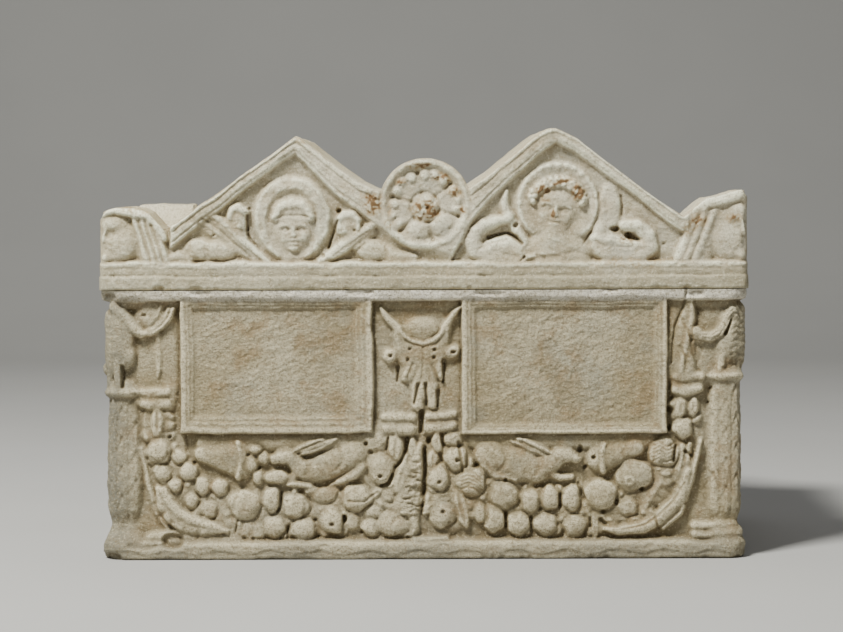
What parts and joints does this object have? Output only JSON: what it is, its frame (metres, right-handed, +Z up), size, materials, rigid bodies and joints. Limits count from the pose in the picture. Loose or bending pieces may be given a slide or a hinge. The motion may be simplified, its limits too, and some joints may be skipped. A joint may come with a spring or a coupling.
{
  "type": "cinerary urn",
  "caption": "Rectangular carved stone ash chest with a loose gabled lid, festoons, an ox skull, corner birds and framed inscription panels.",
  "frame": {"origin": "middle of the underside, on the surface the urn stands on", "axes": "+X towards the viewer's right along the carved front, +Y from the carved front to the plain back, +Z up"},
  "size_m": [0.6, 0.31, 0.3975],
  "materials": {
    "marble_chest": "weathered white marble with warm brown patina in the hollows",
    "marble_lid": "weathered white marble with grey bloom and rust stains"
  },
  "bodies": {
    "root": {"urn_chest": "marble_chest", "urn_lid": "marble_lid"}
  },
  "joints": []
}
